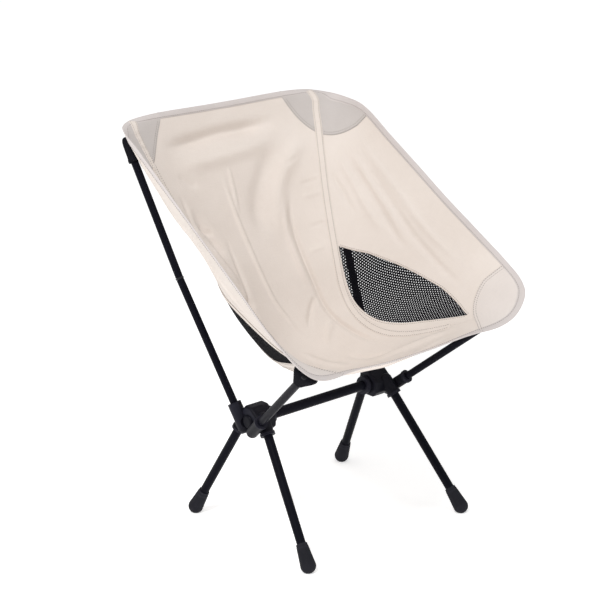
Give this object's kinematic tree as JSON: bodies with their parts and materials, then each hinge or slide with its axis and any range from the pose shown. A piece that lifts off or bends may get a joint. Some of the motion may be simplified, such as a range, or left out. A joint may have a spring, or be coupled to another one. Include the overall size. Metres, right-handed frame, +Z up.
{
  "type": "camping chair",
  "caption": "Low ultralight backpacking chair: a bucket sling of fabric with mesh sides, hung on a shock-corded tube frame with two moulded hubs.",
  "frame": {"origin": "on the floor, under the middle of the chair's box", "axes": "+Z up, -Y is the way the sitter faces, +X is the sitter's left"},
  "size_m": [0.5224, 0.4966, 0.6631],
  "materials": {
    "tube_black": "black anodised, satin",
    "spigot_alloy": "dark anodised",
    "hub_plastic": "moulded black nylon with a fine grain",
    "foot_rubber": "matte rubber",
    "shock_cord": "braided elastic cord",
    "sling_fabric": "cream ripstop polyester, plain weave",
    "patch_fabric": "grey-beige reinforcing fabric",
    "binding_tape": "folded grosgrain tape",
    "mesh_fabric": "black knitted mesh",
    "pocket_webbing": "black coated pocket fabric"
  },
  "bodies": {
    "chair": {"crossbar": "tube_black", "left_back_pocket": "pocket_webbing", "left_back_pole_cord": "shock_cord", "left_back_pole_spigot": "spigot_alloy", "left_back_pole_tip": "hub_plastic", "left_edge_binding": "binding_tape", "left_front_arm": "tube_black", "left_front_arm_cord": "shock_cord", "left_front_arm_tip": "hub_plastic", "left_front_corner_patch": "patch_fabric", "left_front_leg_cord": "shock_cord", "left_front_pocket": "pocket_webbing", "left_hub": "hub_plastic", "left_hub_cap": "hub_plastic", "left_lower_back_pole": "tube_black", "left_mesh_window": "mesh_fabric", "left_rear_leg_cord": "shock_cord", "left_top_corner_patch": "patch_fabric", "left_upper_back_pole": "tube_black", "left_wing_panel": "sling_fabric", "right_back_pocket": "pocket_webbing", "right_back_pole_cord": "shock_cord", "right_back_pole_spigot": "spigot_alloy", "right_back_pole_tip": "hub_plastic", "right_edge_binding": "binding_tape", "right_front_arm": "tube_black", "right_front_arm_cord": "shock_cord", "right_front_arm_tip": "hub_plastic", "right_front_corner_patch": "patch_fabric", "right_front_leg_cord": "shock_cord", "right_front_pocket": "pocket_webbing", "right_hub": "hub_plastic", "right_hub_cap": "hub_plastic", "right_lower_back_pole": "tube_black", "right_mesh_window": "mesh_fabric", "right_rear_leg_cord": "shock_cord", "right_top_corner_patch": "patch_fabric", "right_upper_back_pole": "tube_black", "right_wing_panel": "sling_fabric", "seat_panel": "sling_fabric"},
    "left_front_leg": {"left_front_leg": "tube_black", "left_front_leg_foot": "foot_rubber"},
    "left_rear_leg": {"left_rear_leg": "tube_black", "left_rear_leg_foot": "foot_rubber"},
    "right_front_leg": {"right_front_leg": "tube_black", "right_front_leg_foot": "foot_rubber"},
    "right_rear_leg": {"right_rear_leg": "tube_black", "right_rear_leg_foot": "foot_rubber"}
  },
  "joints": [
    {"name": "left_front_leg_pull", "type": "slide", "parent": "chair", "child": "left_front_leg", "axis": [0.1405, -0.6092, -0.7805], "range_m": [0, 0.03], "stiffness_N_per_m": 100, "springref_m": -0.04},
    {"name": "left_rear_leg_pull", "type": "slide", "parent": "chair", "child": "left_rear_leg", "axis": [0.156, 0.4594, -0.8744], "range_m": [0, 0.03], "stiffness_N_per_m": 100, "springref_m": -0.04},
    {"name": "right_front_leg_pull", "type": "slide", "parent": "chair", "child": "right_front_leg", "axis": [-0.1405, -0.6092, -0.7805], "range_m": [0, 0.03], "stiffness_N_per_m": 100, "springref_m": -0.04},
    {"name": "right_rear_leg_pull", "type": "slide", "parent": "chair", "child": "right_rear_leg", "axis": [-0.156, 0.4594, -0.8744], "range_m": [0, 0.03], "stiffness_N_per_m": 100, "springref_m": -0.04}
  ]
}
